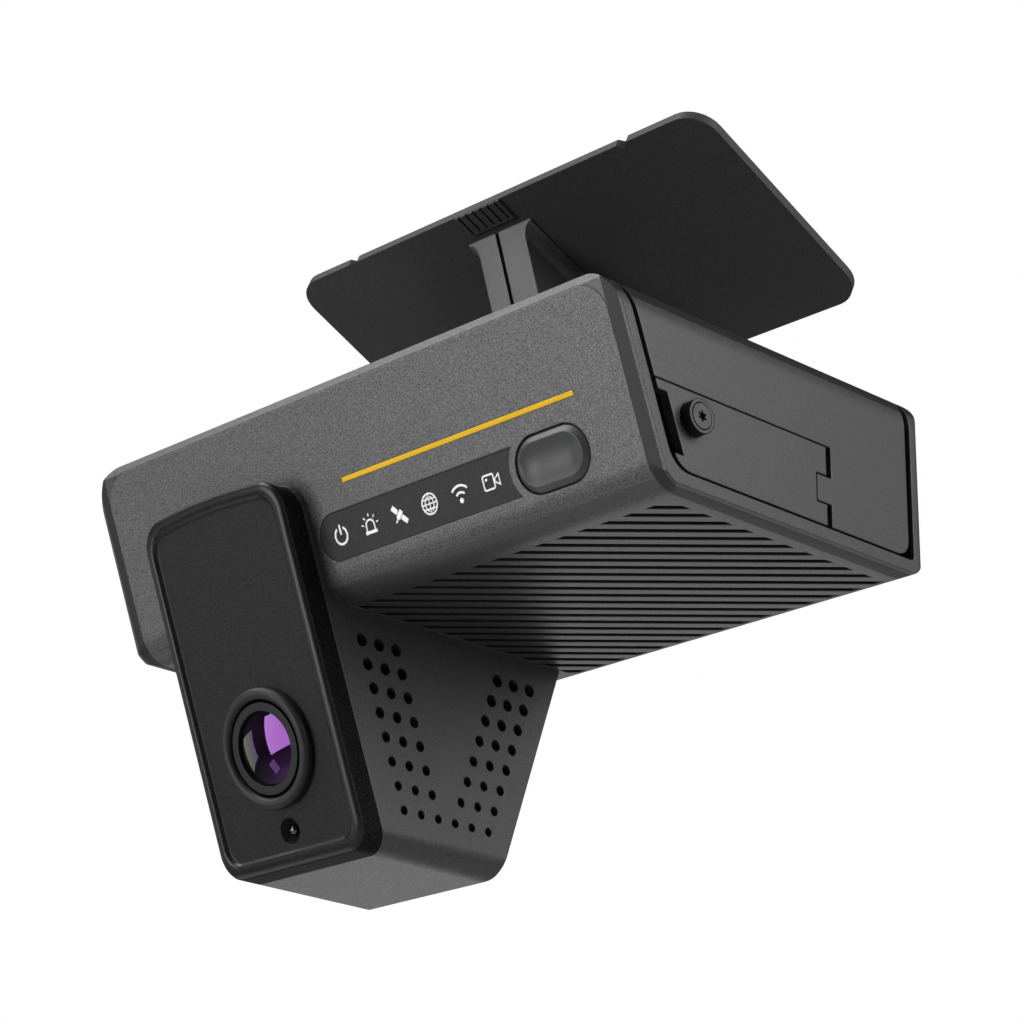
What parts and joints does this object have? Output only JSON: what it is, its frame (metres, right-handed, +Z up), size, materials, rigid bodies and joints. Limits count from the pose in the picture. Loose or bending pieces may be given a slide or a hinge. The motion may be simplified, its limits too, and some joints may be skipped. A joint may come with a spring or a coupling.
{
  "type": "dual dash camera",
  "caption": "Windscreen-mounted dash camera: wide tilting box with a hanging cabin-camera pod, call button, card door, vents and a bracket plate.",
  "frame": {"origin": "centre of the adhesive pad's outer face, the face stuck to the windscreen", "axes": "+X to the right along the body, seen from the cabin; +Y forwards through the windscreen; +Z up"},
  "size_m": [0.122, 0.073, 0.1103],
  "materials": {
    "plate_black": "fine textured black moulding",
    "adhesive_foam": "matt foam tape",
    "arm_grey": "satin dark grey moulding",
    "steel_screw": "bright zinc-plated screw",
    "screw_grey": "dark grey screw with a black star recess",
    "black_screw": "black oxide screw",
    "housing_grey": "fine matt dark grey moulding",
    "fascia_grey": "speckled charcoal metallic paint",
    "door_grey": "fine matt dark grey moulding, black round the screw boss",
    "accent_yellow": "printed yellow line",
    "window_grey": "smoked window",
    "symbol_white": "printed white",
    "button_grey": "satin dark grey cap",
    "component_black": "black component body",
    "board_green": "green circuit board",
    "led_cream": "cream light-emitting chips",
    "panel_black": "black panel, matt face and gloss sides",
    "lens_metal": "black anodised lens barrel",
    "lens_ring": "flat grey ring",
    "lens_glass": "purple coated glass",
    "sensor_clear": "clear dome",
    "led_dark": "dark infrared emitter",
    "speaker_black": "black speaker frame and cone",
    "board_black": "black circuit board",
    "heat_black": "black anodised fins",
    "shield_tin": "tinned shield",
    "capacitor_blue": "blue sleeve",
    "antenna_ceramic": "ceramic patch",
    "socket_cream": "cream connector body",
    "card_black": "black memory card",
    "card_gold": "gold contacts on a thin card"
  },
  "bodies": {
    "bracket": {"windscreen_plate": "plate_black", "adhesive_pad": "adhesive_foam", "bracket_arm": "arm_grey", "arm_screws": "steel_screw"},
    "camera": {"pivot_screw": "black_screw", "pivot_nut": "steel_screw", "lower_housing": "housing_grey", "upper_housing": "housing_grey", "case_screws": "black_screw", "front_fascia": "fascia_grey", "accent_line": "accent_yellow", "status_window": "window_grey", "status_symbols": "symbol_white", "tactile_switch": "component_black", "control_board": "board_green", "status_leds": "led_cream", "pod_front_panel": "panel_black", "cabin_lens_bezel": "lens_metal", "cabin_lens_barrel": "lens_metal", "cabin_lens_ring": "lens_ring", "cabin_lens_glass": "lens_glass", "cabin_sensor_board": "board_green", "light_sensor": "sensor_clear", "infrared_board": "board_black", "infrared_leds": "led_dark", "speaker": "speaker_black", "road_lens_bezel": "lens_metal", "road_lens_barrel": "lens_metal", "road_lens_glass": "lens_glass", "road_sensor_board": "board_green", "main_board": "board_green", "board_screws": "steel_screw", "heat_sink": "heat_black", "processor_shield": "shield_tin", "modem_module": "shield_tin", "supercapacitors": "capacitor_blue", "satellite_antenna": "antenna_ceramic", "card_socket": "shield_tin", "memory_card": "card_black", "sim_socket": "shield_tin", "sim_card": "card_gold", "power_socket": "socket_cream"},
    "button": {"push_button": "button_grey"},
    "door": {"service_door": "door_grey", "door_screw": "screw_grey"}
  },
  "joints": [
    {"name": "camera_tilt", "type": "hinge", "parent": "bracket", "child": "camera", "pos_m": [-0.0009, -0.00062, -0.02582], "axis": [1, 0, 0], "range_deg": [-20, 35]},
    {"name": "button_press", "type": "slide", "parent": "camera", "child": "button", "axis": [0, 0.9341, 0.3571], "range_m": [0, 0.0008], "stiffness_N_per_m": 1500},
    {"name": "door_swing", "type": "hinge", "parent": "camera", "child": "door", "pos_m": [0.0582, -0.00662, -0.05472], "axis": [0, 0, 1], "range_deg": [0, 75]}
  ]
}
